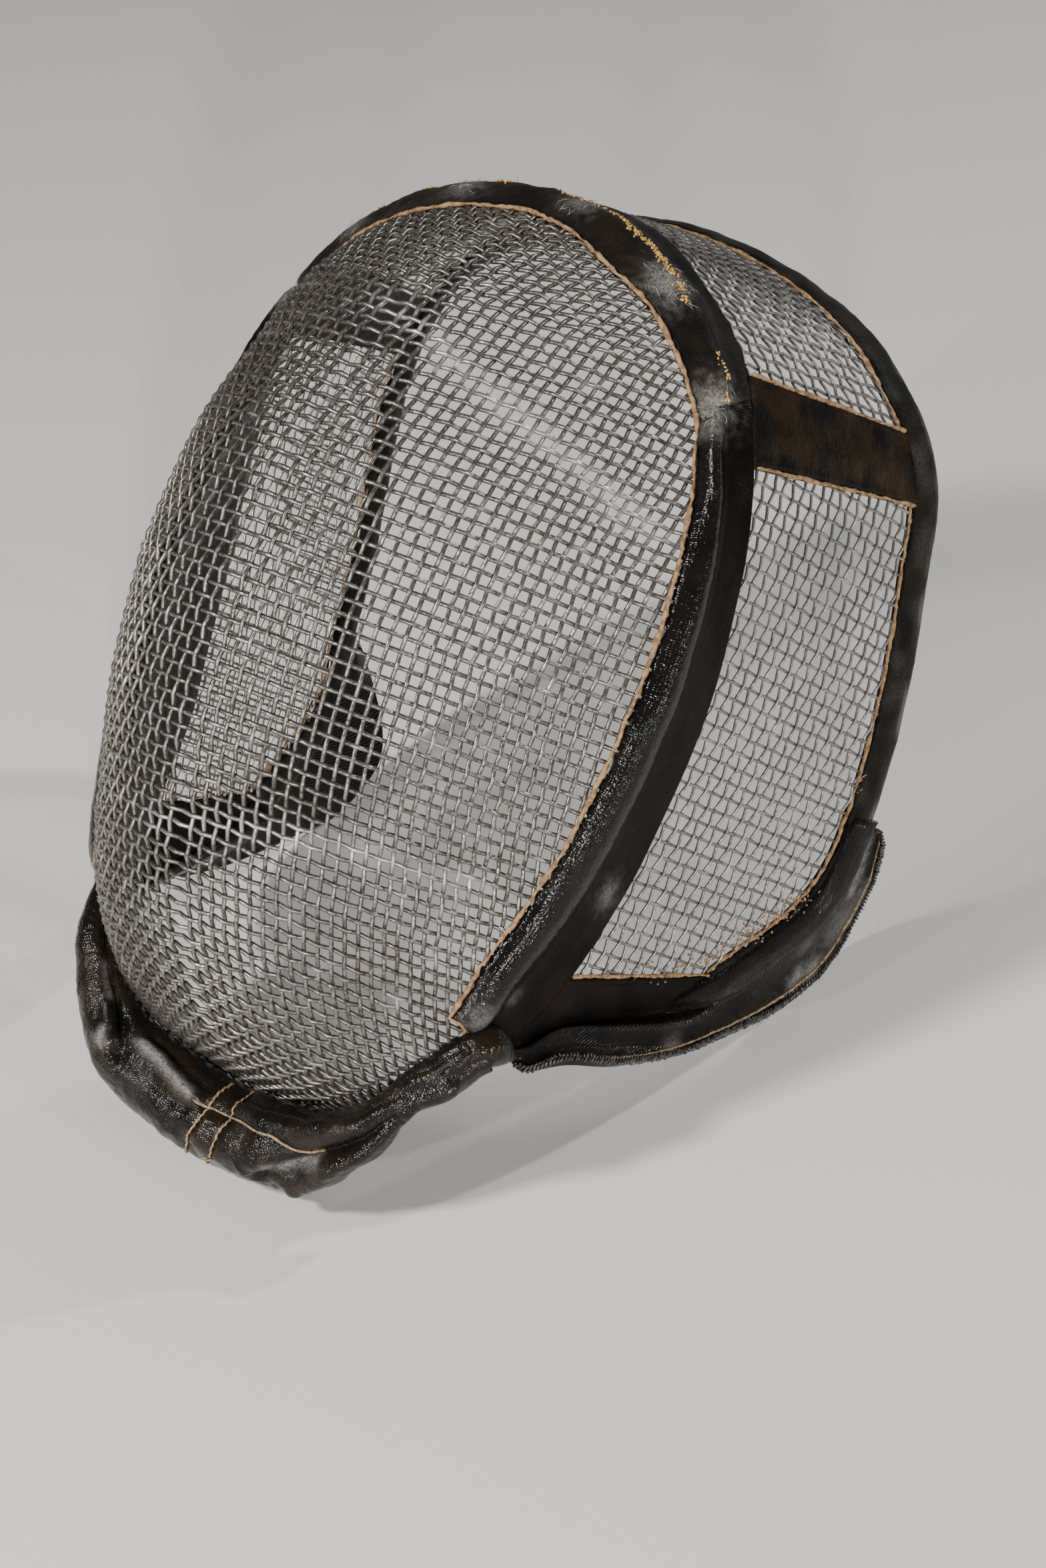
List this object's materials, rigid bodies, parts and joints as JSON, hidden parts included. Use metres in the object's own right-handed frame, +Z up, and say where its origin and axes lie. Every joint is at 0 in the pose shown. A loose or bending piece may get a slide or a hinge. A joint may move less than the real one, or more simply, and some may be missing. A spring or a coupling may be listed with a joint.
{
  "type": "fencing mask",
  "caption": "Fencing mask with a domed woven steel face, side and crown mesh, black oilcloth cheek and chin rolls, bound rear edge and padded neck wings.",
  "frame": {"origin": "middle of the bounding box in plan, on the surface the mask stands on", "axes": "-Y the way the face looks, leaned back; +X to the wearer's left; +Z up"},
  "size_m": [0.2266, 0.2824, 0.2583],
  "materials": {
    "steel_wire": "bare woven wire, dulled and lightly rusted",
    "oilcloth": "glossy black leather cloth, scuffed",
    "strap": "dark brown-black leather, dull",
    "worn_cloth": "black leather cloth worn to a fuzzy nap"
  },
  "bodies": {
    "root": {"face_mesh": "steel_wire", "crown_mesh": "steel_wire", "ear_mesh_left": "steel_wire", "ear_mesh_right": "steel_wire", "crown_trim": "worn_cloth", "cheek_roll_left": "oilcloth", "cheek_roll_right": "oilcloth", "temple_strap_left": "strap", "temple_strap_right": "strap", "jaw_panel_left": "oilcloth", "jaw_panel_right": "oilcloth", "rear_binding": "worn_cloth", "neck_wing_left": "oilcloth", "neck_wing_right": "oilcloth", "chin_roll": "oilcloth"}
  },
  "joints": []
}
